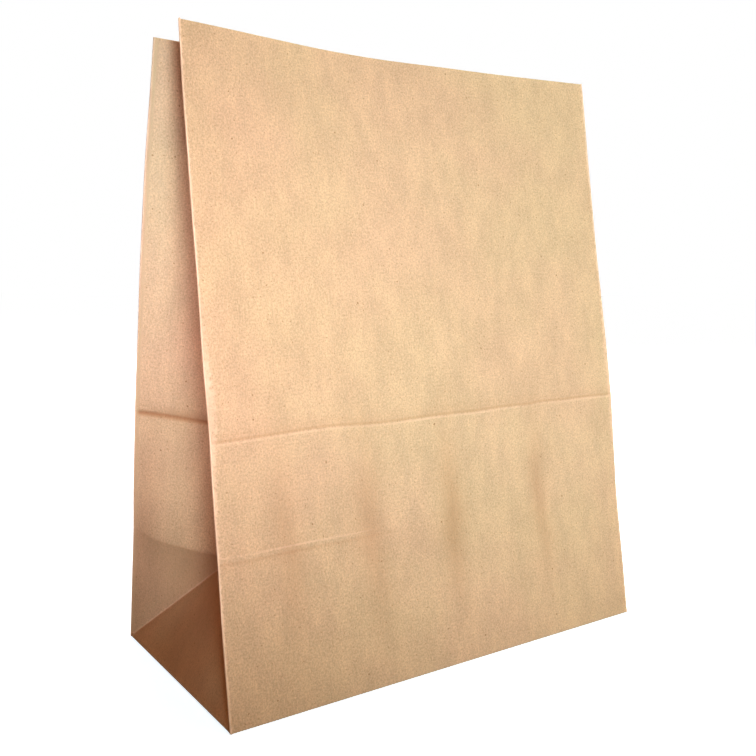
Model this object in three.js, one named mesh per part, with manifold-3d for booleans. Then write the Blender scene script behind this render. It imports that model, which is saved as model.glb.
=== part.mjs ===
// A brown paper lunch bag of the self-opening kind, standing open on its own base.
// It is one sheet of kraft paper: a tube with folded-in side gussets and a glued lap down
// the back, closed below by folded flaps that make a flat rectangular base.
// Millimetres, +Z up. The origin is the middle of the underside of the base, and the
// front panel faces -Y.
import * as THREE from "three";
import { mergeVertices } from "three/addons/utils/BufferGeometryUtils.js";
import Module from "manifold-3d";

// Driving dimensions of the sheet, measured along the paper.
const WIDTH = 203; // front and back panels, 8 in
const DEPTH = 102; // gussets and base, 4 in
const HEIGHT = 250; // from the base's fold to the cut top edge
const PAPER = 0.13; // thickness of one ply of 90 g/m2 kraft
const HALF = DEPTH / 2; // from a corner to a gusset's centre fold
const FOLD_RADIUS = 0.45; // of the paper's middle, at a sharp vertical fold

// Creases across the tube, as heights above the base's fold.
const PACKING_CREASE = 101; // pressed in all round by the edge of the flat-packed base
const FRONT_CREASE = 60; // where the base was folded up against the front

// How the walls lean in towards each other, in degrees, from one crease to the next.
const FRONT_LEAN = [
  { length: FRONT_CREASE, from: 8.2, to: 8.2 },
  { length: PACKING_CREASE - FRONT_CREASE, from: 6.4, to: 6.4 },
  { length: HEIGHT - PACKING_CREASE, from: 9.0, to: 8.4 },
];
const BACK_LEAN = [
  { length: HALF, from: 8.2, to: 8.2 },
  { length: PACKING_CREASE - HALF, from: 6.4, to: 6.4 },
  { length: HEIGHT - PACKING_CREASE, from: 8.8, to: 13.4 },
];

// Above the packing crease both panels bend the same way, like nested arcs.
const FRONT_BOW = 11.5; // how far the middle of the front's top edge is pushed in
const BACK_BOW = 6; // how far the middle of the back's top edge stands out
const BOW_GROWTH = 1.2; // 1 would let the bow grow evenly with height

// The lap that closes the tube, down the middle of the back.
const LAP_WIDTH = 15;
const LAP_RAMP = 0.8; // over which the outer ply climbs onto the inner one
const LAP_STEP = 0.05; // over which its cut edge drops

// The base: a front and a back flap that overlap, outside two gusset flaps.
const FLAP_OVERLAP = 16;
const FLAP_LENGTH = HALF + FLAP_OVERLAP / 2;
const GLUE_BITE = 0.01; // by which glued plies share material
const CORNER_CUT = 0.6; // keeps the plies inside the rounded corners of the tube

// Resolution of the faceted walls.
const PANEL_COLUMNS = 8;
const LAP_SIDE_COLUMNS = 3;
const FOLD_FACETS = 2;
const SMALLEST_FACET = 1.2; // width of a gusset's corner facet at the very bottom
const ROW_HEIGHTS = [0, 25, HALF, FRONT_CREASE, PACKING_CREASE, 120, 150, 180, 215, HEIGHT];

const point = (x, y, z) => new THREE.Vector3(x, y, z);
const radians = THREE.MathUtils.degToRad;

// Where a wall's edge is at a height along the paper: how far it has moved in, and how high
// it is. A stretch whose lean changes is a circular arc.
function climb(zones, s) {
  let inward = 0;
  let up = 0;
  let left = s;
  for (const zone of zones) {
    const run = Math.min(left, zone.length);
    if (run <= 0) {
      break;
    }
    const start = radians(zone.from);
    const turn = radians(zone.to - zone.from);
    const end = start + (turn * run) / zone.length;
    if (turn === 0) {
      inward += run * Math.sin(start);
      up += run * Math.cos(start);
    } else {
      const radius = zone.length / turn;
      inward += radius * (Math.cos(start) - Math.cos(end));
      up += radius * (Math.sin(end) - Math.sin(start));
    }
    left -= run;
  }
  return { inward, up };
}

// How far a panel's bow has grown at a height, from 0 at the packing crease to 1 at the top.
function bowShare(s) {
  const share = Math.max(0, (s - PACKING_CREASE) / (HEIGHT - PACKING_CREASE));
  return share ** BOW_GROWTH;
}

// A bowed panel is narrower across its edges. This is what each edge moves in by.
function edgeShift(bow) {
  return (Math.PI * bow) ** 2 / (8 * WIDTH);
}

// The four vertical corners at a height. side is -1 on the left and 1 on the right.
function frontCorner(side, s) {
  const { inward, up } = climb(FRONT_LEAN, s);
  const x = WIDTH / 2 - edgeShift(FRONT_BOW * bowShare(s));
  return point(side * x, -HALF + inward, up);
}
function backCorner(side, s) {
  const { inward, up } = climb(BACK_LEAN, s);
  const x = WIDTH / 2 - edgeShift(FRONT_BOW * bowShare(s));
  return point(side * x, HALF - inward, up);
}

// The apex of a gusset's bottom triangle. The triangle is stiff, so the lean of the walls
// beside it sets how far it tips in.
const apexLean = radians(FRONT_LEAN[0].from);
const apexTip = Math.acos((1 - Math.sin(apexLean)) / Math.cos(apexLean));
const apexHeight = HALF * Math.cos(apexTip);
const foldDrop = climb(FRONT_LEAN, HALF).up - apexHeight;

// A gusset's centre fold, above the apex. It stays half a gusset's width from both of its
// corners, and lower than them by what the tipped triangle takes.
function centreFold(side, s) {
  const front = frontCorner(side, s);
  const back = backCorner(side, s);
  const middle = front.clone().add(back).multiplyScalar(0.5);
  const halfGap = front.distanceTo(back) / 2;
  const inward = Math.sqrt(HALF ** 2 - halfGap ** 2 - foldDrop ** 2);
  return point(middle.x - side * inward, middle.y, middle.z - foldDrop);
}

// Points round a sharp fold at a corner, from the arm towards a to the arm towards b.
function roundFold(corner, a, b) {
  const armA = a.clone().sub(corner).normalize();
  const armB = b.clone().sub(corner).normalize();
  const into = armA.clone().add(armB).normalize();
  const across = armA.clone().sub(armB).normalize();
  const reach = (Math.PI - armA.angleTo(armB)) / 2;
  const points = [];
  for (let i = 0; i <= FOLD_FACETS; i += 1) {
    const angle = reach * (1 - (2 * i) / FOLD_FACETS);
    points.push(
      corner
        .clone()
        .addScaledVector(into, FOLD_RADIUS * (1 - Math.cos(angle)))
        .addScaledVector(across, FOLD_RADIUS * Math.sin(angle)),
    );
  }
  return points;
}

// Evenly spaced points on the straight line between two points, both ends included.
function straight(from, to, steps) {
  const points = [];
  for (let i = 0; i <= steps; i += 1) {
    points.push(from.clone().lerp(to, i / steps));
  }
  return points;
}

// A gusset at a height, from its front corner to its back corner, as the fold that each
// corner turns towards and the points between. Below the apex they cross the bottom triangle.
function gusset(side, s) {
  const front = frontCorner(side, s);
  const back = backCorner(side, s);
  if (s >= HALF) {
    const fold = centreFold(side, s);
    return { front, back, points: roundFold(fold, front, back) };
  }
  const share = Math.max(s, SMALLEST_FACET) / HALF;
  const apex = centreFold(side, HALF);
  const fromFront = frontCorner(side, 0).lerp(apex, share).setZ((apex.z * s) / HALF);
  const fromBack = backCorner(side, 0).lerp(apex, share).setZ((apex.z * s) / HALF);
  return { front, back, points: straight(fromFront, fromBack, FOLD_FACETS) };
}

// Shares of the back panel's width, from right to left, with the lap's own stations, and
// how many extra plies lie outside the paper at each.
function backStations() {
  const stations = [];
  const lap = LAP_WIDTH / WIDTH / 2;
  const ramp = LAP_RAMP / WIDTH;
  const step = LAP_STEP / WIDTH;
  for (let i = 1; i < LAP_SIDE_COLUMNS; i += 1) {
    stations.push({ share: ((0.5 - lap - ramp) * i) / LAP_SIDE_COLUMNS, plies: 0 });
  }
  stations.push({ share: 0.5 - lap - ramp, plies: 0 });
  stations.push({ share: 0.5 - lap, plies: 1 });
  stations.push({ share: 0.5 + lap, plies: 1 });
  stations.push({ share: 0.5 + lap + step, plies: 0 });
  for (let i = 1; i < LAP_SIDE_COLUMNS; i += 1) {
    const beyond = ((0.5 - lap - step) * i) / LAP_SIDE_COLUMNS;
    stations.push({ share: 0.5 + lap + step + beyond, plies: 0 });
  }
  return stations;
}
const BACK_STATIONS = backStations();

// A point between two corners of a panel that is bowed along Y.
function onPanel(from, to, share, bow) {
  const p = from.clone().lerp(to, share);
  p.y += bow * Math.sin(Math.PI * share);
  return p;
}

// One closed loop of the paper's middle surface, anticlockwise from above, starting at the
// front panel's left edge. Each entry has its place and its extra plies.
function loopAt(s) {
  const left = gusset(-1, s);
  const right = gusset(1, s);
  const frontBow = FRONT_BOW * bowShare(s);
  const backBow = BACK_BOW * bowShare(s);
  const near = 0.5 / PANEL_COLUMNS;
  const front = (share) => onPanel(left.front, right.front, share, frontBow);
  const back = (share) => onPanel(right.back, left.back, share, backBow);

  const frontLeft = roundFold(left.front, left.points[0], front(near));
  const frontRight = roundFold(right.front, front(1 - near), right.points[0]);
  const backRight = roundFold(right.back, right.points.at(-1), back(near));
  const backLeft = roundFold(left.back, back(1 - near), left.points.at(-1));

  const single = (points) => points.map((place) => ({ place, plies: 0 }));
  const frontPanel = [];
  for (let i = 1; i < PANEL_COLUMNS; i += 1) {
    frontPanel.push(front(i / PANEL_COLUMNS));
  }
  const backPanel = BACK_STATIONS.map(({ share, plies }) => ({ place: back(share), plies }));
  return [
    ...single(frontLeft),
    ...single(frontPanel),
    ...single(frontRight),
    ...single(right.points),
    ...single(backRight),
    ...backPanel,
    ...single(backLeft),
    ...single([...left.points].reverse()),
  ];
}

// The tube: the loops thickened to both sides and closed along the bottom and the top edge.
function tube() {
  const loops = ROW_HEIGHTS.map(loopAt);
  const rows = loops.length;
  const columns = loops[0].length;
  const place = (r, c) => loops[r][(c + columns) % columns].place;
  const positions = [];
  const faces = [];
  const index = (r, c, face) => 2 * (r * columns + ((c + columns) % columns)) + face;

  for (let r = 0; r < rows; r += 1) {
    for (let c = 0; c < columns; c += 1) {
      const along = place(r, c + 1).clone().sub(place(r, c - 1));
      const above = place(Math.min(r + 1, rows - 1), c);
      const below = place(Math.max(r - 1, 0), c);
      const out = along.cross(above.clone().sub(below)).normalize();
      if (r === 0) {
        out.setZ(0).normalize(); // the bottom edge stays in the base's plane
      }
      const outward = PAPER * (0.5 + loops[r][c].plies);
      const outer = place(r, c).clone().addScaledVector(out, outward);
      const inner = place(r, c).clone().addScaledVector(out, -PAPER / 2);
      positions.push(...outer.toArray(), ...inner.toArray());
    }
  }
  // A quad is split from its first corner. Both faces of the paper split along the same
  // diagonal, so that they stay a ply apart where the panel is warped.
  const quad = (a, b, c, d) => faces.push(a, b, c, a, c, d);
  for (let c = 0; c < columns; c += 1) {
    for (let r = 0; r + 1 < rows; r += 1) {
      quad(index(r, c, 0), index(r, c + 1, 0), index(r + 1, c + 1, 0), index(r + 1, c, 0));
      quad(index(r, c, 1), index(r + 1, c, 1), index(r + 1, c + 1, 1), index(r, c + 1, 1));
    }
    const top = rows - 1;
    quad(index(0, c + 1, 0), index(0, c, 0), index(0, c, 1), index(0, c + 1, 1));
    quad(index(top, c, 0), index(top, c + 1, 0), index(top, c + 1, 1), index(top, c, 1));
  }
  return new THREE.BufferGeometry()
    .setAttribute("position", new THREE.Float32BufferAttribute(positions, 3))
    .setIndex(faces);
}

// A flat ply of the base, from an outline in the XY plane, lying in a numbered layer
// counted up from the underside.
function ply(outline, layer) {
  const shape = new THREE.Shape(outline.map(([x, y]) => new THREE.Vector2(x, y)));
  const settings = { depth: PAPER + GLUE_BITE, bevelEnabled: false };
  return new THREE.ExtrudeGeometry(shape, settings).translate(0, 0, PAPER * layer);
}

// A front (side -1) or back (side 1) flap. Its ends slant in at 45 degrees from the corners.
function longFlap(side, layer) {
  const y = (inFromEdge) => side * (HALF - inFromEdge);
  const end = WIDTH / 2 - CORNER_CUT;
  const outline = [
    [-end, y(0)],
    [end, y(0)],
    [end - FLAP_LENGTH, y(FLAP_LENGTH)],
    [-end + FLAP_LENGTH, y(FLAP_LENGTH)],
  ];
  return ply(side < 0 ? outline : outline.reverse(), layer);
}

// The ear that the front flap carries behind each slanted end.
function ear(side) {
  const end = WIDTH / 2 - CORNER_CUT;
  const outline = [
    [side * end, -HALF],
    [side * (end - FLAP_LENGTH), -HALF],
    [side * (end - FLAP_LENGTH), -HALF + FLAP_LENGTH],
  ];
  return ply(side < 0 ? outline : outline.reverse(), 1);
}

// The flap that a gusset folds in, on the inside of the base.
function gussetFlap(side) {
  const outer = side * (WIDTH / 2);
  const cut = side * (WIDTH / 2 - CORNER_CUT);
  const inner = side * (WIDTH / 2 - FLAP_LENGTH);
  const outline = [
    [outer, HALF - CORNER_CUT],
    [outer, -HALF + CORNER_CUT],
    [cut, -HALF],
    [inner, -HALF],
    [inner, HALF],
    [cut, HALF],
  ];
  return ply(side < 0 ? outline : outline.reverse(), 2);
}

const wasm = await Module();
wasm.setup();

function solidOf(geometry) {
  const bare = geometry.clone();
  bare.deleteAttribute("normal");
  bare.deleteAttribute("uv");
  const merged = mergeVertices(bare, 1e-4);
  return new wasm.Manifold(
    new wasm.Mesh({
      numProp: 3,
      vertProperties: merged.attributes.position.array,
      triVerts: new Uint32Array(merged.index.array),
    }),
  );
}

function geometryOf(solid) {
  const mesh = solid.getMesh();
  const geometry = new THREE.BufferGeometry()
    .setAttribute("position", new THREE.BufferAttribute(mesh.vertProperties, 3))
    .setIndex(new THREE.BufferAttribute(mesh.triVerts, 1))
    .toNonIndexed();
  geometry.computeVertexNormals();
  return geometry;
}

// The whole folded sheet as one solid.
function foldedSheet() {
  const plies = [
    longFlap(-1, 0),
    longFlap(1, 1),
    ear(-1),
    ear(1),
    gussetFlap(-1),
    gussetFlap(1),
  ];
  const solid = plies.reduce((sum, g) => sum.add(solidOf(g)), solidOf(tube()));
  return geometryOf(solid);
}

const kraftPaper = new THREE.MeshStandardMaterial({
  color: new THREE.Color(0.76, 0.55, 0.36),
  roughness: 0.85,
  metalness: 0,
});

const bag = new THREE.Mesh(foldedSheet(), kraftPaper);
bag.name = "paper_bag";

const lunchBag = new THREE.Group();
lunchBag.add(bag);

export default lunchBag;
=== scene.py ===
"""A brown kraft paper lunch bag, folded from one sheet and standing open on a pale studio floor.

The wall is one thin shell laid out on the flat sheet's own coordinates: u runs round the tube
and s runs up the paper. The base's folded flaps are plies of the same paper. Everything is in
metres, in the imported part's frame, with the front panel facing -Y.
"""

import math

import bpy
import numpy as np
from bpy.props import FloatProperty, FloatVectorProperty, IntProperty, PointerProperty
from mathutils import Matrix, Vector


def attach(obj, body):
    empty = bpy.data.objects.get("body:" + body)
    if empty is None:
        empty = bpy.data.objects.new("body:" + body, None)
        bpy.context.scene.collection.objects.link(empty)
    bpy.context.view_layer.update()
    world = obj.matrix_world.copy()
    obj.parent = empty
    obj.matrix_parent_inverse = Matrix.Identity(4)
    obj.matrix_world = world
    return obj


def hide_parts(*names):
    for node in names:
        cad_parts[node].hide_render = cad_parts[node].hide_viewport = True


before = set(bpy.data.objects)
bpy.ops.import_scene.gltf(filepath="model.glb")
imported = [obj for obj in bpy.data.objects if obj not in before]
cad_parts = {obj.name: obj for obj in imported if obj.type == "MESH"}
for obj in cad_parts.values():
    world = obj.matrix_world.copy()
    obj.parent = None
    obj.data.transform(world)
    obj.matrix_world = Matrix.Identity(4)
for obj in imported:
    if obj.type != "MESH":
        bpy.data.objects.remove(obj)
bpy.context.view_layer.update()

bl_info = {
    "name": "Paper Lunch Bag",
    "version": (1, 0, 0),
    "blender": (4, 5, 0),
    "location": "3D View > Sidebar > Paper Bag",
    "description": "Folds a gusseted kraft paper bag and sets it on a studio floor",
    "category": "Add Mesh",
}

NODE = "paper_bag"

MM = 0.001
OUTSIDE, INSIDE, CUT_EDGE = range(3)  # the bag's material slots

# ---------------------------------------------------------------------------------------
# Settings
# ---------------------------------------------------------------------------------------


def length(name, description, default, **more):
    return FloatProperty(
        name=name, description=description, default=default, unit="LENGTH", precision=5, **more
    )


def angle(name, description, degrees):
    return FloatProperty(
        name=name, description=description, default=math.radians(degrees), subtype="ANGLE"
    )


def colour(name, description, default):
    return FloatVectorProperty(
        name=name, description=description, default=default, subtype="COLOR", min=0, max=1
    )


def share(name, description, default):
    return FloatProperty(
        name=name, description=description, default=default, min=0, max=1, subtype="FACTOR"
    )


def power(name, description, default):
    return FloatProperty(name=name, description=description, default=default, min=0, unit="POWER")


def plain(name, description, default):
    return FloatProperty(name=name, description=description, default=default)


class PaperBagShape(bpy.types.PropertyGroup):
    width: length("Width", "Width of the front and back panels", 203 * MM)
    depth: length("Depth", "Width of each gusset, and depth of the base", 102 * MM)
    height: length("Height", "Paper from the base's fold to the cut top edge", 250 * MM)
    paper: length("Paper", "Thickness of one ply", 0.13 * MM)
    fold_radius: length("Fold Radius", "Radius of a sharp fold, at mid paper", 0.45 * MM)
    packing_crease: length("Packing Crease", "Height of the crease pressed in all round", 101 * MM)
    front_crease: length("Front Crease", "Height of the front panel's lower crease", 60 * MM)
    lean_base: angle("Base Lean", "Lean of front and back below their lower creases", 8.2)
    lean_waist: angle("Waist Lean", "Lean between the two creases", 6.4)
    lean_front: angle("Front Lean", "Lean of the front just above the packing crease", 9.0)
    lean_front_top: angle("Front Lean At Mouth", "Lean of the front at the top edge", 8.4)
    lean_back: angle("Back Lean", "Lean of the back just above the packing crease", 8.8)
    lean_back_top: angle("Back Lean At Mouth", "Lean of the back at the top edge", 13.4)
    front_bow: length("Front Bow", "How far the front's top edge is pushed in", 11.5 * MM)
    back_bow: length("Back Bow", "How far the back's top edge stands out", 6 * MM)
    bow_growth: plain("Bow Growth", "1 lets the bow grow evenly with height", 1.2)
    lap_width: length("Lap Width", "Overlap glued down the middle of the back", 15 * MM)
    flap_overlap: length("Flap Overlap", "Overlap of the base's front and back flaps", 16 * MM)
    roll: length("Edge Roll", "How far the panels swell out behind their folds", 0.55 * MM)
    cockle: length("Cockle", "Height of the paper's broad unevenness", 0.5 * MM)
    seed: IntProperty(name="Seed", description="Picks another unevenness", default=11)


class PaperBagKraft(bpy.types.PropertyGroup):
    paper_colour: colour("Paper", "Unbleached kraft, machine-finished side", (0.615, 0.497, 0.340))
    warm_colour: colour("Warm Patches", "Redder patches of the pulp", (0.63, 0.487, 0.345))
    inner_colour: colour("Inside", "The rougher inner side", (0.58, 0.385, 0.22))
    fibre_light: colour("Light Fibres", "Bleached stray fibres", (0.84, 0.68, 0.48))
    fibre_dark: colour("Dark Fibres", "Bark-stained fibres", (0.42, 0.26, 0.13))
    speck_colour: colour("Specks", "Bark specks", (0.30, 0.17, 0.085))
    # Pale broken fibres along folds and creases, and on the front's folds a painted highlight as
    # well
    worn_and_highlight_colour: colour("Worn Folds And Painted Highlight", "Broken fibres along folds", (0.84, 0.67, 0.53))
    # Crushed fibres along creases, and painted shade beside the creases, in the front's buckles and
    # under the gussets' lower creases
    crush_and_shade_colour: colour("Crushed Creases And Painted Shade", "Crushed, darkened fibres", (0.36, 0.17, 0.07))
    edge_colour: colour("Cut Edge", "Fibres of the cut edge", (0.76, 0.58, 0.40))
    grain: share("Grain", "Contrast of the fine grain", 0.15)
    clouds: share("Clouds", "Contrast of the pulp's cloudy formation", 0.075)
    roughness: share("Roughness", "Roughness of the machine-finished side", 0.68)


class PaperBagStudio(bpy.types.PropertyGroup):
    eye: FloatVectorProperty(
        name="Camera Place",
        description="Where the camera stands",
        default=(-226.4 * MM, -323.9 * MM, 158.8 * MM),
        subtype="TRANSLATION",
        unit="LENGTH",
    )
    yaw: angle("Yaw", "Turn of the camera to the right of straight ahead", 33.79)
    pitch: angle("Pitch", "How far the camera looks down", 5.63)
    lens: FloatProperty(name="Lens", description="Focal length", default=42.88, unit="CAMERA")
    shift_x: plain("Shift X", "Sideways lens shift", 0.0111)
    shift_y: plain("Shift Y", "Upward lens shift", -0.0225)
    floor_colour: colour("Floor", "Pale paper floor", (0.50, 0.50, 0.495))
    key_turn: angle("Key Turn", "Turn of the key light to the left of the front panel", 25)
    key_rise: angle("Key Rise", "Height of the key light above its aim", -8)
    key_distance: length("Key Distance", "From the bag to the key light", 1.1)
    key_size: length("Key Size", "Radius of the key light", 0.15)
    key_beam: angle("Key Beam", "Width of the key light's soft-edged beam", 42)
    key_power: power("Key", "Power of the key light", 112)
    key_colour: colour("Key Colour", "Colour of the key light", (0.765, 0.945, 1.0))
    kicker_turn: angle("Kicker Turn", "Turn of the kicker to the left of the front panel", 40)
    kicker_beam: angle("Kicker Beam", "Width of the kicker's soft-edged beam", 15)
    kicker_power: power("Kicker", "Power of the light on the left gusset", 31)
    kicker_colour: colour("Kicker Colour", "Colour of the kicker", (0.98, 0.78, 0.85))
    warm_power: power("Warm", "Power of the warm light from the right", 2.2)
    rear_power: power("Rear", "Power of each light behind the bag", 14)
    fill_colour: colour("Fill Colour", "Warm light from the surroundings", (1.0, 0.40, 0.09))
    sky: plain("Fill", "Light from the surroundings", 0.40)
    backdrop: plain("Backdrop", "Brightness of the backdrop", 1.0)
    contrast: plain("View Gamma", "Under 1 deepens the shaded paper", 0.75)


# ---------------------------------------------------------------------------------------
# The sheet's shape
# ---------------------------------------------------------------------------------------


STRAIGHT = 1e-9  # a stretch that turns less than this, in radians per metre, is straight


def climb(zones, s):
    """How far a wall has leaned in, and how high it is, at heights s along the paper.
    zones is [(length, first lean, last lean)], and a stretch between two leans is an arc."""
    inward = np.zeros_like(s)
    up = np.zeros_like(s)
    begun = 0.0
    for span, first, last in zones:
        run = np.clip(s - begun, 0, span)
        turn = (last - first) / span
        if abs(turn) < STRAIGHT:
            inward += run * math.sin(first)
            up += run * math.cos(first)
        else:
            now = first + turn * run
            inward += (math.cos(first) - np.cos(now)) / turn
            up += (np.sin(now) - math.sin(first)) / turn
        begun += span
    return inward, up


def waves(rng, across, up, lengths, heights):
    """Smooth seeded unevenness over the sheet: plane waves of the given lengths, summed."""
    total = 0.0
    for span, height in zip(lengths, heights):
        heading = rng.uniform(0, math.tau)
        phase = rng.uniform(0, math.tau)
        along = across * math.cos(heading) + up * math.sin(heading)
        total = total + height * np.cos(math.tau * along / span + phase)
    return total


def bump(distance, reach):
    """1 at a line and 0 away from it."""
    return np.exp(-((distance / reach) ** 2))


def away_from(distance, reach):
    """0 on a stiff fold and 1 in the free paper beside it."""
    return 1 - bump(distance, reach)


def unit(vectors):
    return vectors / np.linalg.norm(vectors, axis=-1, keepdims=True)


SWAY_GROWN = 60 * MM  # from this height a fold wavers fully


class Sheet:
    """Places every point of the folded sheet. Rows are heights s along the paper."""

    def __init__(self, shape, s):
        self.k = shape
        self.s = s
        self.half = shape.depth / 2
        self.front_zones = [
            (shape.front_crease, shape.lean_base, shape.lean_base),
            (shape.packing_crease - shape.front_crease, shape.lean_waist, shape.lean_waist),
            (shape.height - shape.packing_crease, shape.lean_front, shape.lean_front_top),
        ]
        self.back_zones = [
            (self.half, shape.lean_base, shape.lean_base),
            (shape.packing_crease - self.half, shape.lean_waist, shape.lean_waist),
            (shape.height - shape.packing_crease, shape.lean_back, shape.lean_back_top),
        ]
        tilt = math.acos((1 - math.sin(shape.lean_base)) / math.cos(shape.lean_base))
        level = climb(self.front_zones, np.array([self.half]))[1][0]
        self.fold_drop = level - self.half * math.cos(tilt)

    def bow_share(self, s):
        free = self.k.height - self.k.packing_crease
        return np.clip((s - self.k.packing_crease) / free, 0, 1) ** self.k.bow_growth

    def sway(self, s, side, which):
        """The slight waver of a vertical fold, in x and y: a long and a short wave of a tenth
        or two of a millimetre, which grow from nothing at the base."""
        turns = s / self.k.height * math.tau
        grip = np.clip(s / SWAY_GROWN, 0, 1)
        x = 0.16 * np.sin(2.1 * turns + 1.3 * side + which) + 0.07 * np.sin(5.3 * turns + which)
        y = 0.22 * np.sin(1.7 * turns + 0.8 * which) + 0.08 * np.sin(4.6 * turns + 2 * side)
        return x * MM * grip, y * MM * grip

    def corner(self, side, front, s):
        """A vertical fold. side is -1 on the left, and front says which panel it borders."""
        zones = self.front_zones if front else self.back_zones
        inward, up = climb(zones, s)
        pull = (math.pi * self.k.front_bow * self.bow_share(s)) ** 2 / (8 * self.k.width)
        sway_x, sway_y = self.sway(s, side, 0.0 if front else 2.0)
        x = side * (self.k.width / 2 - pull) + sway_x
        y = (-self.half + inward if front else self.half - inward) + sway_y
        return np.stack([x, y, up], -1)

    def centre_fold(self, side, s):
        """A gusset's inner fold above the apex, half a gusset from both of its corners."""
        front = self.corner(side, True, s)
        back = self.corner(side, False, s)
        middle = (front + back) / 2
        gap = np.linalg.norm(front - back, axis=-1) / 2
        inward = np.sqrt(self.half**2 - gap**2 - self.fold_drop**2)
        middle[:, 0] -= side * inward
        middle[:, 2] -= self.fold_drop
        return middle

    def gusset_arms(self, side):
        """Unit vectors from the front and back corners into the gusset, for each row."""
        s = np.maximum(self.s, self.half)
        fold = self.centre_fold(side, s)
        to_fold = unit(fold - self.corner(side, True, s))
        return to_fold, unit(fold - self.corner(side, False, s))

    def gusset(self, side, v):
        """Points of a gusset at distances v from its front corner, for all rows."""
        depth, half = self.k.depth, self.half
        arm_front, arm_back = self.gusset_arms(side)
        front = self.corner(side, True, self.s)
        back = self.corner(side, False, self.s)
        zero = np.zeros(1)
        foot_front = self.corner(side, True, zero)[0]
        foot_back = self.corner(side, False, zero)[0]
        apex = self.centre_fold(side, np.array([half]))[0]
        rise = (apex - (foot_front + foot_back) / 2) / half
        on_front = front[:, None] + v[None, :, None] * arm_front[:, None]
        on_back = back[:, None] + (depth - v)[None, :, None] * arm_back[:, None]
        across = foot_front + (v / depth)[:, None] * (foot_back - foot_front)
        on_triangle = across[None] + self.s[:, None, None] * rise
        level = np.minimum(self.s, half)[:, None]
        above_apex = self.s[:, None] >= half
        in_front = (v[None] < level) | (above_apex & (v[None] <= half))
        behind = v[None] > depth - level
        grid = np.where(in_front[..., None], on_front, on_triangle)
        return np.where(behind[..., None], on_back, grid)

    def panel(self, front, shares):
        """Points of the front or back panel at shares of its width, from its left end as seen
        from outside, for all rows."""
        start, end = (-1, 1) if front else (1, -1)
        a = self.corner(start, front, self.s)
        b = self.corner(end, front, self.s)
        grid = a[:, None] + shares[None, :, None] * (b - a)[:, None]
        bow = self.k.front_bow if front else self.k.back_bow
        grid[..., 1] += bow * self.bow_share(self.s)[:, None] * np.sin(math.pi * shares)[None]
        return grid

    def round_fold(self, corner, arm_a, arm_b, facets):
        """Points round a sharp fold, from the side of arm_a to the side of arm_b, per row."""
        into = unit(arm_a + arm_b)
        across = unit(arm_a - arm_b)
        cosine = np.clip((arm_a * arm_b).sum(-1), -1, 1)
        reach = (math.pi - np.arccos(cosine)) / 2
        turn = reach[:, None] * (1 - 2 * np.linspace(0, 1, facets + 1)[None])
        step_in = self.k.fold_radius * (1 - np.cos(turn))
        step_out = self.k.fold_radius * np.sin(turn)
        return (
            corner[:, None]
            + into[:, None] * step_in[..., None]
            + across[:, None] * step_out[..., None]
        )


# ---------------------------------------------------------------------------------------
# Stations: where the rows and columns of the mesh lie on the sheet
# ---------------------------------------------------------------------------------------

LOW_STEP = 2 * MM  # in the base's triangles, where rows and columns share their stations
FINE_STEP = 0.5 * MM  # beside a crease
PLAIN_STEP = 3.7 * MM
PANEL_STEP = 3.0 * MM
CREASE_BAND = 3 * MM
FOLD_FACETS = 6
LAP_RAMP = 0.8 * MM
LAP_STEP = 0.05 * MM
RIM_BAND = 2 * MM  # below the cut top edge
RIM_STEP = 1 * MM
EDGE_STATIONS = [0.8 * MM, 1.7 * MM, 2.8 * MM, 4.2 * MM, 6 * MM, 8.2 * MM]


def spread(start, end, step):
    """Even stations after start, up to and including end."""
    count = max(1, round((end - start) / step))
    return list(np.linspace(start, end, count + 1)[1:])


def low_stations(half):
    """Stations from a corner to the centre fold, or from the base up to the apex."""
    coarse_end = half - CREASE_BAND
    return [0.0] + spread(0.0, coarse_end, LOW_STEP) + spread(coarse_end, half, FINE_STEP)


def row_stations(k):
    half = k.depth / 2
    rows = low_stations(half)
    for crease in (half, k.front_crease, k.packing_crease):
        if crease > half:
            rows += spread(rows[-1], crease - CREASE_BAND, LOW_STEP)
            rows += spread(rows[-1], crease, FINE_STEP)
        rows += spread(rows[-1], crease + CREASE_BAND, FINE_STEP)
    rows += spread(rows[-1], k.height - RIM_BAND, PLAIN_STEP)
    rows += spread(rows[-1], k.height, RIM_STEP)
    return np.array(rows)


def panel_stations(k):
    inner = spread(EDGE_STATIONS[-1], k.width - EDGE_STATIONS[-1], PANEL_STEP)[:-1]
    far = [k.width - gap for gap in reversed(EDGE_STATIONS)]
    return np.array(EDGE_STATIONS + inner + far)


def back_stations(k):
    """The back panel's stations, with the lap's ramp and step, and the extra plies there."""
    lap_start = (k.width - k.lap_width) / 2
    lap_end = (k.width + k.lap_width) / 2
    left = EDGE_STATIONS + spread(EDGE_STATIONS[-1], lap_start - LAP_RAMP, PANEL_STEP)
    lap = [lap_start] + spread(lap_start, lap_end, PANEL_STEP)
    right = [lap_end + LAP_STEP]
    right += spread(right[-1], k.width - EDGE_STATIONS[-1], PANEL_STEP)[:-1]
    right += [k.width - gap for gap in reversed(EDGE_STATIONS)]
    plies = [0] * len(left) + [1] * len(lap) + [0] * len(right)
    return np.array(left + lap + right), np.array(plies)


# ---------------------------------------------------------------------------------------
# Creases and unevenness
# ---------------------------------------------------------------------------------------


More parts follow.
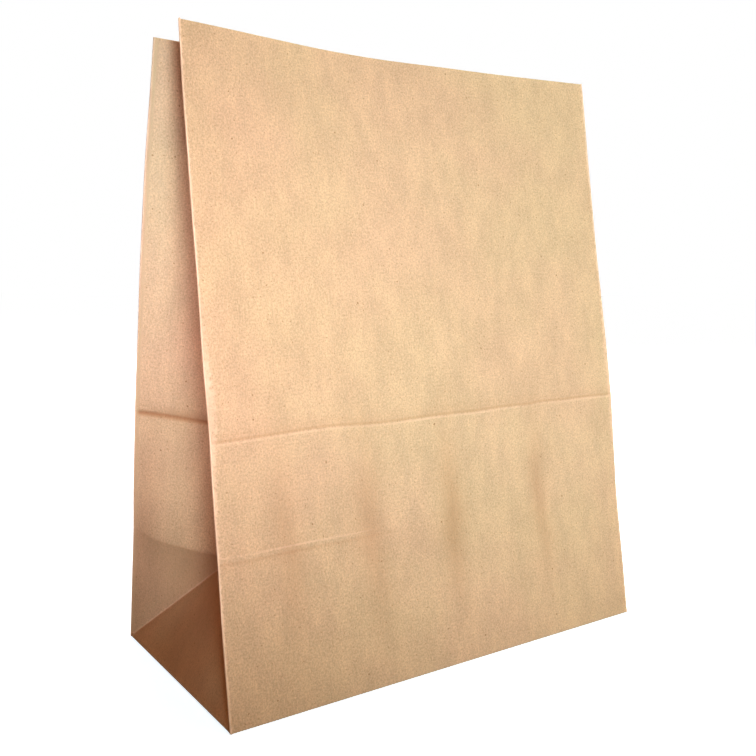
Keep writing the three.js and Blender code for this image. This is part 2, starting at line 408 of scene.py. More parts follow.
STIFF_EDGE = 22 * MM  # how far a panel's folds hold it flat
ROLL_REACH = 2.6 * MM  # how soon a panel has swelled out behind its folds
STIFF_FOOT = 8 * MM  # up to here the base holds the wall to its plain form
PRESSED_TWICE = 0.76  # where along the front's width its upper crease is broken
PANEL_WAVES = [0.7, 0.6, 0.5, 0.35, 0.22, 0.12, 0.07]
FRONT_WAVE_LENGTHS = [0.21, 0.15, 0.11, 0.082, 0.060, 0.043, 0.031]
BACK_WAVE_LENGTHS = [0.23, 0.16, 0.12, 0.085, 0.058, 0.040, 0.030]
GUSSET_WAVES = [0.9, 0.8, 0.7, 0.45, 0.22]
GUSSET_WAVE_LENGTHS = [0.13, 0.085, 0.060, 0.041, 0.029]

# Buckles hanging below the front's packing crease: place as a share of the width, relative
# depth, and reach.
BUCKLES = (
    (0.13, 0.8, 7 * MM),
    (0.31, 1.0, 8 * MM),
    (0.505, 1.3, 7 * MM),
    (0.75, 1.1, 6 * MM),
)
BUCKLE_DEPTH = 0.34 * MM


def crease_waver(u):
    """How far a pressed crease strays up or down along the sheet."""
    return (0.35 * np.sin(u / (17 * MM)) + 0.22 * np.sin(u / (7.3 * MM) + 1)) * MM


def front_creases(k, u, s):
    """Signed heights above the front panel's two creases. The upper one dips towards the left
    fold, and jumps up a little where the paper was pressed twice."""
    jump = 1.1 * MM / (1 + np.exp(-(u - PRESSED_TWICE * k.width) / (1.5 * MM)))
    dip = 1.5 * MM * bump(u, 26 * MM)
    upper = s - k.packing_crease - crease_waver(u) - jump + dip
    lower = s - k.front_crease - 0.6 * crease_waver(u + 60 * MM)
    return upper, lower


def buckles(k, u, s):
    """The buckles below the front's packing crease, and the narrower painted shade in their
    hollows.
    """
    hang = bump(s - 0.60 * k.packing_crease, 0.30 * k.packing_crease)
    pleats = hollow_shade = 0.0
    for place, deep, wide in BUCKLES:
        drift = place * k.width + 0.04 * (k.packing_crease - s) + 2.2 * crease_waver(2 * s + u)
        pleats = pleats + deep * bump(u - drift, wide)
        hollow_shade = hollow_shade + deep * bump(u - drift, 0.6 * wide)
    return hang * pleats, hang * hollow_shade


def panel_swell(k, rng, u, s, lengths, roll):
    """The broad unevenness of the front or the back, and its swell behind its folds."""
    edge = np.minimum(u, k.width - u)
    broad = k.cockle * waves(rng, u, 0.6 * s, lengths, PANEL_WAVES)
    return broad * away_from(edge, STIFF_EDGE) + roll * (1 - np.exp(-edge / ROLL_REACH))


def settled(relief, s):
    return relief * np.clip(s / STIFF_FOOT, 0, 1)


def front_relief(k, rng, u, s):
    """How far the front panel stands out from its plain form, its distance from the pale
    lines of its creases, and where its colour is darkened: crushed fibres and painted shade
    along its creases, and painted shade in the hollows of its buckles."""
    upper, lower = front_creases(k, u, s)
    faded = np.clip((0.42 * k.width - u) / (0.20 * k.width), 0, 1)
    broken = 1 - 0.75 * bump(u - PRESSED_TWICE * k.width, 9 * MM)
    pleats, hollow_shade = buckles(k, u, s)
    relief = 0.13 * MM * broken * bump(upper, 0.5 * MM)
    relief -= 0.12 * MM * bump(upper - 2.4 * MM, 1.6 * MM)
    relief += 0.26 * MM * faded * bump(lower - 0.5 * MM, 1.3 * MM)
    relief -= 0.18 * MM * faded * bump(lower + 1.7 * MM, 0.9 * MM)
    relief -= BUCKLE_DEPTH * pleats
    roll = k.roll * (0.55 + 0.45 * bump(s - 1.25 * k.packing_crease, 55 * MM))
    relief += panel_swell(k, rng, u, s, FRONT_WAVE_LENGTHS, roll)
    pale = np.minimum(np.abs(upper) / (0.25 + broken), np.abs(lower - 0.5 * MM) / (0.1 + faded))
    # Darker bands just above the upper crease and below the lower one: crushed fibres, and painted
    # shade beside the crease ridges
    crush_and_shade = 0.22 * bump(upper - 1.1 * MM, 0.5 * MM) + 0.07 * bump(upper - 2.6 * MM, 1.4 * MM)
    crush_and_shade += 0.16 * faded * bump(lower + 1.8 * MM, 0.7 * MM)
    # Painted shade in the buckles and, narrower, in their hollows
    crush_and_shade = crush_and_shade + 0.06 * pleats + 0.17 * hollow_shade
    return settled(relief, s), pale, crush_and_shade


def back_relief(k, rng, u, s):
    """The same for the back panel."""
    upper = s - k.packing_crease - crease_waver(u + 300 * MM)
    lower = s - k.depth / 2 - crease_waver(u + 400 * MM)
    relief = 0.20 * MM * bump(upper, 0.9 * MM) - 0.12 * MM * bump(upper - 2.4 * MM, 1.8 * MM)
    relief -= 0.24 * MM * bump(lower, 1.0 * MM)
    relief += panel_swell(k, rng, u, s, BACK_WAVE_LENGTHS, 0.7 * k.roll)
    # Darker bands above the packing crease and along the lower crease: crushed fibres, and painted
    # shade at the crease ridges
    crush_and_shade = 0.20 * bump(upper - 1.8 * MM, 1.2 * MM) + 0.35 * bump(lower, 0.9 * MM)
    return settled(relief, s), np.abs(upper), crush_and_shade


def fold_distance(k, v, s):
    """Distance on the sheet from a gusset's point to the nearest fold line in it."""
    half = k.depth / 2
    near = np.minimum(v, k.depth - v)
    diagonal = np.abs(near - s) / math.sqrt(2)
    centre = np.abs(half - near)
    inner = np.where(s < half, diagonal, centre)
    beside_apex = np.hypot(half - near, s - half)
    return np.minimum(np.where(s < half, inner, np.minimum(centre, beside_apex)), near)


def gusset_relief(k, rng, v, s):
    """The same for a gusset, with its relief away from the bag's inside. The paper above the
    lower crease stands out over the stiffer paper under it."""
    half = k.depth / 2
    near = np.minimum(v, k.depth - v)
    middle = np.sin(math.pi * np.clip(near / half, 0, 1))
    upper = s - k.packing_crease - 0.8 * crease_waver(v + 90 * MM) - (1.0 + 1.3 * middle) * MM
    lower = s - half + 1.0 * MM * middle
    free = away_from(fold_distance(k, v, s), 7 * MM)
    above_diagonal = np.clip((s - near) / (6 * MM), 0, 1)
    relief = -0.55 * MM * bump(upper, 0.9 * MM)
    relief += 0.16 * MM * bump(upper - 2.6 * MM, 1.4 * MM)
    ledge = np.where(lower > 0, np.exp(-lower / (16 * MM)), np.exp(lower / (7 * MM)))
    relief += 2.0 * MM * ledge * free * above_diagonal
    broad = waves(rng, 1.3 * v, 0.35 * s, GUSSET_WAVE_LENGTHS, GUSSET_WAVES)
    relief += 1.2 * k.cockle * broad * free
    # Painted shade under the lower crease, over the wing and the base's triangle, deepest towards
    # the centre fold and fading downwards
    under = np.where(lower < 0, np.exp(lower / (60 * MM)), np.exp(-lower / (0.5 * MM)))
    under *= 0.35 + 1.2 * near / half
    # The dark line in the packing crease is crushed fibres and painted shade in its valley
    crush_and_shade = 0.62 * bump(upper, 1.15 * MM) + 0.28 * under * (s > 0)
    faint = 0.05 + np.clip(1 - s / (0.6 * half), 0, 0.8) * np.clip(s / (5 * MM), 0, 1)
    return settled(relief, s), (half - near) / faint, crush_and_shade


# ---------------------------------------------------------------------------------------
# Building the mesh
# ---------------------------------------------------------------------------------------

SHELTERED = 1.6  # a gusset's own folds are rubbed over a band this much narrower
FOLD_TIP = 0.002  # share of a panel's width that gives its direction at a fold
FOOT_RADIUS = 0.4 * MM  # where the wall turns in under itself
FOOT_RUN = 0.6 * MM  # paper round that turn
SETTLE = 20 * MM  # up to here the wall is lifted by the base's plies under its foot
PLY_INSET = 0.4 * MM  # from the base's outline to its flaps
OTHER_SIDE = np.array([0, 0, 0.5])  # moves the kraft pattern, so that it differs inside
CLOSE = 1e-7  # stations nearer than this, in metres, are one


class Columns:
    """The columns of the wall, gathered one stretch at a time, anticlockwise from above."""

    def __init__(self, rows):
        self.rows = rows
        self.parts = []

    def add(self, grid, u, fold, pale=None, crush_and_shade=None, relief=None, plies=None):
        """fold and pale are distances from a sharp fold and from a crease's pale line."""
        count = grid.shape[1]
        shape = (self.rows, count)
        self.parts.append(
            {
                "grid": grid,
                "u": np.broadcast_to(u, shape),
                "fold": np.broadcast_to(fold, shape),
                "pale": np.full(shape, 1.0) if pale is None else pale,
                "crush_and_shade": np.zeros(shape) if crush_and_shade is None else crush_and_shade,
                "relief": np.zeros(shape) if relief is None else relief,
                "plies": np.zeros(count, int) if plies is None else plies,
            }
        )

    def joined(self, name):
        axis = 0 if name == "plies" else 1
        return np.concatenate([part[name] for part in self.parts], axis=axis)


def normals_of(grid):
    """Outward unit normals of a closed band of rows, by its neighbours."""
    along = np.roll(grid, -1, axis=1) - np.roll(grid, 1, axis=1)
    up = np.gradient(grid, axis=0)
    return unit(np.cross(along, up))


def widened_into_highlight(k, gap, s):
    """Distances from the front's folds, shrunk a little above the packing crease, where the pale
    band along them is widened into a painted highlight.
    """
    return gap / (1 + 2.2 * bump(s - 1.12 * k.packing_crease, 26 * MM))


def lay_out_wall(k):
    """Every column of the wall, with its distances and relief, and the heights of its rows."""
    s = row_stations(k)
    sheet = Sheet(k, s)
    rng = np.random.RandomState(k.seed)
    columns = Columns(len(s))
    tall = s[:, None]
    half = k.depth / 2
    low = np.array(low_stations(half))[1:-1]
    turn = np.linspace(-1, 1, FOLD_FACETS + 1) * k.fold_radius
    u0_right = k.width
    u0_back = k.width + k.depth
    u0_left = 2 * k.width + k.depth

    def corner_fold(side, front, arm_a, arm_b, u):
        grid = sheet.round_fold(sheet.corner(side, front, s), arm_a, arm_b, FOLD_FACETS)
        columns.add(grid, u + turn[None], np.abs(turn)[None])

    def add_gusset(side, start):
        """A whole gusset, whose centre fold is rounded above the apex of its triangle."""
        v = np.concatenate([low, half + turn, k.depth - low[::-1]])
        relief, pale, crush_and_shade = gusset_relief(k, rng, v[None], tall)
        gap = SHELTERED * fold_distance(k, v[None], tall)
        grid = sheet.gusset(side, v)
        arm_front, arm_back = sheet.gusset_arms(side)
        fold = sheet.centre_fold(side, np.maximum(s, half))
        rounded = sheet.round_fold(fold, -arm_front, -arm_back, FOLD_FACETS)
        middle = slice(len(low), len(low) + len(turn))
        grid[:, middle] = np.where((tall >= half)[..., None], rounded, grid[:, middle])
        order = slice(None, None, side)
        columns.add(
            grid[:, order],
            (start + v)[None, order],
            gap[:, order],
            pale[:, order],
            crush_and_shade[:, order],
            relief[:, order],
        )

    def into_panel(front, edge, inner):
        ends = sheet.panel(front, np.array([edge, inner]))
        return unit(ends[:, 1] - ends[:, 0])

    left_front, left_back = sheet.gusset_arms(-1)
    right_front, right_back = sheet.gusset_arms(1)
    front_start, back_start = (into_panel(front, 0, FOLD_TIP) for front in (True, False))
    front_end, back_end = (into_panel(front, 1, 1 - FOLD_TIP) for front in (True, False))

    corner_fold(-1, True, left_front, front_start, 0.0)
    u = panel_stations(k)
    relief, pale, crush_and_shade = front_relief(k, rng, u[None], tall)
    # The pale band along the front's folds is widened here into a painted highlight
    edge = widened_into_highlight(k, np.minimum(u, k.width - u)[None], tall)
    columns.add(sheet.panel(True, u / k.width), u[None], edge, pale, crush_and_shade, relief)
    corner_fold(1, True, front_end, right_front, u0_right)
    add_gusset(1, u0_right)
    corner_fold(1, False, right_back, back_start, u0_back)
    u, plies = back_stations(k)
    relief, pale, crush_and_shade = back_relief(k, rng, u[None], tall)
    edge = np.minimum(u, k.width - u)[None]
    columns.add(
        sheet.panel(False, u / k.width), (u0_back + u)[None], edge, pale, crush_and_shade, relief, plies
    )
    corner_fold(-1, False, back_end, left_back, u0_left)
    add_gusset(-1, u0_left)
    return columns, s


def add_relief(grid, relief):
    return grid + normals_of(grid) * relief[..., None]


def base_rounding(k, grid):
    """Rows that turn the foot of the wall in under itself, from the inside out."""
    foot = grid[0].copy()
    outward = normals_of(grid)[0]
    outward[:, 2] = 0
    outward = unit(outward)
    rows = []
    for part in (0.0, 1 / 3, 2 / 3):
        turn = part * math.pi / 2
        row = foot - outward * FOOT_RADIUS * (1 - math.sin(turn))
        row[:, 2] = k.paper / 2 + FOOT_RADIUS * (1 - math.cos(turn))
        rows.append(row)
    foot[:, 2] = k.paper / 2 + FOOT_RADIUS
    rows.append(foot)
    return np.stack(rows)


def flap_level(k, u):
    """How many plies of the base lie below the foot of each part of the wall."""
    back_start = k.width + k.depth
    back_end = back_start + k.width
    level = np.where((u > k.width) & (u < back_start), 2.0, 0.0)
    level = np.where((u > back_start) & (u < back_end), 1.0, level)
    return np.where(u > back_end, 2.0, level)


class MeshParts:
    """Vertices, faces and per-vertex values, gathered before one mesh is made of them."""

    def __init__(self):
        self.points, self.faces, self.materials, self.sharp = [], [], [], []
        self.places, self.folds, self.pales, self.crush_and_shade_values = [], [], [], []
        self.count = 0

    def add_points(self, points, places, folds=1.0, pales=1.0, crush_and_shade_values=0.0):
        start = self.count
        self.points.append(points)
        self.places.append(places)
        self.folds.append(np.broadcast_to(folds, len(points)))
        self.pales.append(np.broadcast_to(pales, len(points)))
        self.crush_and_shade_values.append(np.broadcast_to(crush_and_shade_values, len(points)))
        self.count += len(points)
        return start

    def add_faces(self, faces, material):
        self.faces += faces
        self.materials += [material] * len(faces)


def band_faces(index, rows, columns, flip, diagonals):
    """Quads between the rows of a closed band. A quad that a base fold crosses from corner to
    corner is split along that fold: diagonals maps (row, column) to True or False."""
    faces = []
    for r in range(rows - 1):
        for c in range(columns):
            d = (c + 1) % columns
            quad = [index(r, c), index(r, d), index(r + 1, d), index(r + 1, c)]
            rising = diagonals.get((r, c))
            if rising is None:
                split = [quad]
            elif rising:
                split = [[quad[0], quad[1], quad[2]], [quad[0], quad[2], quad[3]]]
            else:
                split = [[quad[0], quad[1], quad[3]], [quad[1], quad[2], quad[3]]]
            faces += [face[::-1] for face in split] if flip else split
    return faces


def base_diagonals(k, u, s, first_row):
    """Which quads the base's four 45 degree folds cross, and their edges on the grid."""
    half = k.depth / 2
    columns = len(u)
    found, edges = {}, []

    def same(a, b):
        return abs(a - b) < CLOSE

    for start in (k.width, 2 * k.width + k.depth):
        v = u - start
        inside = (v > -CLOSE) & (v < k.depth + CLOSE)
        near = np.where(inside, np.minimum(v, k.depth - v), -1)
        for r in range(np.count_nonzero(s[1:] < half + CLOSE)):
            for c in range(columns):
                d = (c + 1) % columns
                if same(near[c], s[r]) and same(near[d], s[r + 1]):
                    found[(r + first_row, c)] = True
                    edges.append(((r, c), (r + 1, d)))
                elif same(near[d], s[r]) and same(near[c], s[r + 1]):
                    found[(r + first_row, c)] = False
                    edges.append(((r, d), (r + 1, c)))
    return found, edges


def build_wall(k, parts):
    """The tube: outer and inner faces, rim and foot."""
    columns, s = lay_out_wall(k)
    u = columns.joined("u")[0]
    plies = columns.joined("plies")
    grid = add_relief(columns.joined("grid"), columns.joined("relief"))
    foot = base_rounding(k, grid)
    foot_rows = len(foot)
    grid = np.concatenate([foot, grid[1:]])
    lift = flap_level(k, u)[None] * k.paper
    settle = np.clip(1 - np.concatenate([np.zeros(foot_rows), s[1:]]) / SETTLE, 0, 1)
    grid[..., 2] += lift * settle[:, None]

    rows, count = grid.shape[:2]
    normals = normals_of(grid)
    outer = grid + normals * (k.paper * (0.5 + plies))[None, :, None]
    inner = grid - normals * (k.paper / 2)
    outer[0, :, 2] = inner[0, :, 2] = grid[0, :, 2]
    outer[0, :, 2] -= k.paper / 2
    inner[0, :, 2] += k.paper / 2

    heights = np.concatenate([np.linspace(-1, 0, foot_rows) * FOOT_RUN, s[1:]])
    place = np.zeros((rows, count, 3))
    place[..., 0] = u[None]
    place[..., 1] = heights[:, None]

    def whole(name):
        values = columns.joined(name)
        return np.concatenate([np.repeat(values[:1], foot_rows, axis=0), values[1:]])

    fold, pale, crush_and_shade = (whole(name).ravel() for name in ("fold", "pale", "crush_and_shade"))
    first_outer = parts.add_points(outer.reshape(-1, 3), place.reshape(-1, 3), fold, pale, crush_and_shade)
    inner_place = (place + OTHER_SIDE).reshape(-1, 3)
    first_inner = parts.add_points(inner.reshape(-1, 3), inner_place, fold, pale, crush_and_shade)

    def on_outer(r, c):
        return first_outer + r * count + c

    def on_inner(r, c):
        return first_inner + r * count + c

    diagonals, edges = base_diagonals(k, u, s, foot_rows - 1)
    parts.add_faces(band_faces(on_outer, rows, count, False, diagonals), OUTSIDE)
    parts.add_faces(band_faces(on_inner, rows, count, True, diagonals), INSIDE)
    rim, sole = [], []
    top = rows - 1
    for c in range(count):
        d = (c + 1) % count
        rim.append([on_outer(top, c), on_outer(top, d), on_inner(top, d), on_inner(top, c)])
        sole.append([on_outer(0, d), on_outer(0, c), on_inner(0, c), on_inner(0, d)])
        for r in (0, top):
            parts.sharp += [(on_outer(r, c), on_outer(r, d)), (on_inner(r, c), on_inner(r, d))]
    parts.add_faces(rim, CUT_EDGE)
    parts.add_faces(sole, OUTSIDE)
    for (r, c), (r2, c2) in edges:
        for on in (on_outer, on_inner):
            parts.sharp.append((on(r + foot_rows - 1, c), on(r2 + foot_rows - 1, c2)))
    return grid


def ply_outline(k, kind, side):
    """A base flap's outline, anticlockwise from above. side is -1 for front or left."""
    end = k.width / 2 - PLY_INSET
    edge = k.depth / 2 - PLY_INSET
    reach = k.depth / 2 + k.flap_overlap / 2
    if kind == "long":
        outline = [
            (-end, side * edge),
            (end, side * edge),
            (end - reach, side * (edge - reach)),
            (-end + reach, side * (edge - reach)),
        ]
        return outline if side < 0 else outline[::-1]
    if kind == "ear":
        outline = [
            (side * end, -edge),
            (side * (end - reach), -edge),
            (side * (end - reach), -edge + reach),
        ]
    else:
        outline = [
            (side * end, edge),
            (side * end, -edge),
            (side * (end - reach), -edge),
            (side * (end - reach), edge),
        ]
    return outline if side < 0 else outline[::-1]


def build_ply(k, parts, outline, layer):
    """A flat ply of the base in one layer, counted up from the floor."""
    n = len(outline)
    low = layer * k.paper
    bottom = np.array([(x, y, low) for x, y in outline])
    top = bottom + np.array([0, 0, k.paper])
    place = bottom * [1, 1, 0] + [0.3, -0.2, 0.11 * layer]
    start = parts.add_points(bottom, place)
    parts.add_points(top, place + OTHER_SIDE)
    parts.add_faces([list(range(start, start + n))[::-1]], OUTSIDE)
    parts.add_faces([list(range(start + n, start + 2 * n))], INSIDE)
    sides = []
    for i in range(n):
        j = (i + 1) % n
        sides.append([start + i, start + j, start + n + j, start + n + i])
        parts.sharp += [(start + i, start + j), (start + n + i, start + n + j)]
        parts.sharp.append((start + i, start + n + i))
    parts.add_faces(sides, CUT_EDGE)


def mesh_from(parts, name):
    mesh = bpy.data.meshes.new(name)
    points = np.concatenate(parts.points)
    mesh.from_pydata(points.tolist(), [], parts.faces)
    mesh.polygons.foreach_set("material_index", parts.materials)
    mesh.polygons.foreach_set("use_smooth", [True] * len(parts.faces))
    wanted = {tuple(sorted(edge)) for edge in parts.sharp}
    for edge in mesh.edges:
        if tuple(sorted(edge.vertices)) in wanted:
            edge.use_edge_sharp = True
    place = mesh.attributes.new("sheet_place", "FLOAT_VECTOR", "POINT")
    place.data.foreach_set("vector", np.concatenate(parts.places).astype(np.float32).ravel())
    for label, values in (
        ("fold_gap", parts.folds),
        ("crease_gap", parts.pales),
        ("crush_and_shade", parts.crush_and_shade_values),
    ):
        attribute = mesh.attributes.new(label, "FLOAT", "POINT")
        attribute.data.foreach_set("value", np.concatenate(values).astype(np.float32))
    mesh.validate()
    mesh.update()
    return mesh


# ---------------------------------------------------------------------------------------
# Kraft paper
# ---------------------------------------------------------------------------------------


class Nodes:
    """Short calls for laying out and linking the nodes of one tree."""

    def __init__(self, tree):
        self.tree = tree
        tree.nodes.clear()

    def put(self, kind, inputs=None, **settings):
        node = self.tree.nodes.new(kind)
        for name, value in settings.items():
            setattr(node, name, value)
        for socket, value in (inputs or {}).items():
            if isinstance(value, bpy.types.NodeSocket):
                self.tree.links.new(value, node.inputs[socket])
            else:
                node.inputs[socket].default_value = value
        return node

    def maths(self, operation, a, b=None, clamp=False):
        inputs = {0: a} if b is None else {0: a, 1: b}
        return self.put("ShaderNodeMath", inputs, operation=operation, use_clamp=clamp).outputs[0]

    def mix(self, factor, a, b, blend="MIX"):
        inputs = {0: factor, 6: a, 7: b}
        return self.put("ShaderNodeMix", inputs, data_type="RGBA", blend_type=blend).outputs[2]

    def ramp(self, value, low, high, to_low=0.0, to_high=1.0):
        """A smooth step from to_low to to_high between low and high."""
        node = self.put(
            "ShaderNodeMapRange",
            {
                "Value": value,
                "From Min": low,
                "From Max": high,
                "To Min": to_low,
                "To Max": to_high,
            },
            interpolation_type="SMOOTHSTEP",
        )
        return node.outputs["Result"]

    def noise(self, vector, size, detail, roughness):
        """Noise whose features are about size metres across."""
        node = self.put(
            "ShaderNodeTexNoise",
            {"Vector": vector, "Scale": 1 / size, "Detail": detail, "Roughness": roughness},
        )
        return node.outputs["Fac"]


def new_group(name, inputs, outputs):
    """An empty shader group with named sockets. Returns its Nodes, inputs and output node."""
    tree = bpy.data.node_groups.new(name, "ShaderNodeTree")
    nodes = Nodes(tree)
    for label, kind, default in inputs:
        socket = tree.interface.new_socket(name=label, in_out="INPUT", socket_type=kind)
        if default is not None:
            socket.default_value = default
    for label, kind in outputs:
        tree.interface.new_socket(name=label, in_out="OUTPUT", socket_type=kind)
    return nodes, nodes.put("NodeGroupInput").outputs, nodes.put("NodeGroupOutput")


def clouds_group():
    """The cloudy formation and fine grain of the pulp, both about 0.5."""
    nodes, given, result = new_group(
        "Pulp Clouds",
        [("Place", "NodeSocketVector", None), ("Grain Size", "NodeSocketFloat", 0.7 * MM)],
        [(label, "NodeSocketFloat") for label in ("Patches", "Clouds", "Grain")],
    )
    place = given["Place"]
    link = nodes.tree.links.new
    link(nodes.noise(place, 75 * MM, 3, 0.55), result.inputs["Patches"])
    tall = nodes.put(
        "ShaderNodeVectorMath", {0: place, 1: (1.0, 0.45, 1.0)}, operation="MULTIPLY"
    ).outputs[0]
    link(nodes.noise(tall, 9 * MM, 4, 0.6), result.inputs["Clouds"])
    scale = nodes.maths("DIVIDE", 1.0, given["Grain Size"])
    grain = nodes.put(
        "ShaderNodeTexNoise", {"Vector": place, "Scale": scale, "Detail": 2.5, "Roughness": 0.7}
    )
    link(grain.outputs["Fac"], result.inputs["Grain"])
    return nodes.tree


def fibres_group():
    """Masks of the fibres and specks that show in unbleached paper."""
    nodes, given, result = new_group(
        "Paper Fibres",
        [("Place", "NodeSocketVector", None), ("Amount", "NodeSocketFloat", 0.5)],
        [(label, "NodeSocketFloat") for label in ("Fibres", "Pale", "Specks")],
    )
    place = given["Place"]

    def strands(turn, shift, long, thin, cut):
        """Curly strands at one heading: thin cells of a stretched pattern."""
        mapped = nodes.put(
            "ShaderNodeMapping",
            {
                "Vector": place,
                "Location": (shift, shift, 0),
                "Rotation": (0, 0, turn),
                "Scale": (1 / thin, 1 / long, 1),
            },
        ).outputs[0]
        curl = nodes.put(
            "ShaderNodeTexNoise", {"Vector": mapped, "Scale": 0.6, "Detail": 1.0}
        ).outputs["Color"]
        bent = nodes.put(
            "ShaderNodeVectorMath", {0: curl, 1: (1.6, 0.5, 0), 2: mapped}, operation="MULTIPLY_ADD"
        ).outputs[0]
        cell = nodes.put(
            "ShaderNodeTexVoronoi", {"Vector": bent, "Scale": 1.0}, voronoi_dimensions="2D"
        )
        core = nodes.ramp(cell.outputs["Distance"], 0.10, 0.34, 1.0, 0.0)
        pick = nodes.put("ShaderNodeSeparateColor", {"Color": cell.outputs["Color"]}).outputs[0]
        chosen = nodes.maths("GREATER_THAN", pick, cut)
        return nodes.maths("MULTIPLY", core, chosen)

    def most(masks):
        total = masks[0]
        for mask in masks[1:]:
            total = nodes.maths("MAXIMUM", total, mask)
        return total

    dark = [strands(turn, 3.1 * turn, 2.4 * MM, 0.30 * MM, 0.62) for turn in (0.1, 1.1, -0.7)]
    pale = [strands(turn, 5.7 + turn, 2.9 * MM, 0.28 * MM, 0.80) for turn in (-0.25, 0.8, 1.9)]
    link = nodes.tree.links.new
    link(nodes.maths("MULTIPLY", most(dark), given["Amount"]), result.inputs["Fibres"])

    def flecks(size, radius, cut):
        """Round specks about size apart, in the cells that are picked by chance above cut."""
        warped = nodes.put(
            "ShaderNodeTexNoise", {"Vector": place, "Scale": 1.6 / size, "Detail": 1.0}
        ).outputs["Color"]
        moved = nodes.put(
            "ShaderNodeVectorMath",
            {0: warped, 1: (0.22 * size,) * 3, 2: place},
            operation="MULTIPLY_ADD",
        ).outputs[0]
        cell = nodes.put(
            "ShaderNodeTexVoronoi", {"Vector": moved, "Scale": 1 / size}, voronoi_dimensions="2D"
        )
        pick = nodes.put("ShaderNodeSeparateColor", {"Color": cell.outputs["Color"]}).outputs
        grown = nodes.maths("MULTIPLY", pick[1], radius)
        inside = nodes.maths("LESS_THAN", cell.outputs["Distance"], grown)
        return nodes.maths("MULTIPLY", inside, nodes.maths("GREATER_THAN", pick[0], cut))

    large = nodes.maths("MULTIPLY", flecks(10 * MM, 0.040, 0.70), 0.8)
    small = nodes.maths("MULTIPLY", flecks(3.1 * MM, 0.105, 0.55), 0.45)
    dust = nodes.maths("MULTIPLY", flecks(1.5 * MM, 0.17, 0.50), 0.26)
    link(most([large, small, dust]), result.inputs["Specks"])
    pale_strands = nodes.maths("MULTIPLY", most(pale), given["Amount"])
    link(most([pale_strands, flecks(7.3 * MM, 0.045, 0.60)]), result.inputs["Pale"])
    return nodes.tree


def wear_and_highlight_group():
    """A mask of paper roughed up along its folds and creases, which on the front's folds is also a
    painted highlight.
    """
    nodes, given, result = new_group(
        "Fold Wear And Highlight",
        [
            ("Place", "NodeSocketVector", None),
            ("Gap", "NodeSocketFloat", 1.0),
            ("Reach", "NodeSocketFloat", 1 * MM),
        ],
        [("Wear", "NodeSocketFloat")],
    )
    ragged = nodes.noise(given["Place"], 1.8 * MM, 3, 0.65)
    patchy = nodes.noise(given["Place"], 26 * MM, 2, 0.5)
    spread_by = nodes.ramp(ragged, 0.25, 0.75, 0.35, 1.5)
    reach = nodes.maths("MULTIPLY", given["Reach"], spread_by)
    near = nodes.maths("DIVIDE", nodes.maths("ABSOLUTE", given["Gap"]), reach)
    mask = nodes.ramp(near, 0.25, 1.0, 1.0, 0.0)
    strength = nodes.ramp(patchy, 0.25, 0.70, 0.45, 1.0)
    nodes.tree.links.new(nodes.maths("MULTIPLY", mask, strength), result.inputs["Wear"])
    return nodes.tree


def rgba(value):
    return (*value, 1.0)


GRAIN_SIZE = 0.75 * MM
FOLD_WEAR = 1.2 * MM  # how far from a sharp fold the paper is rubbed
CREASE_WEAR = 0.55 * MM


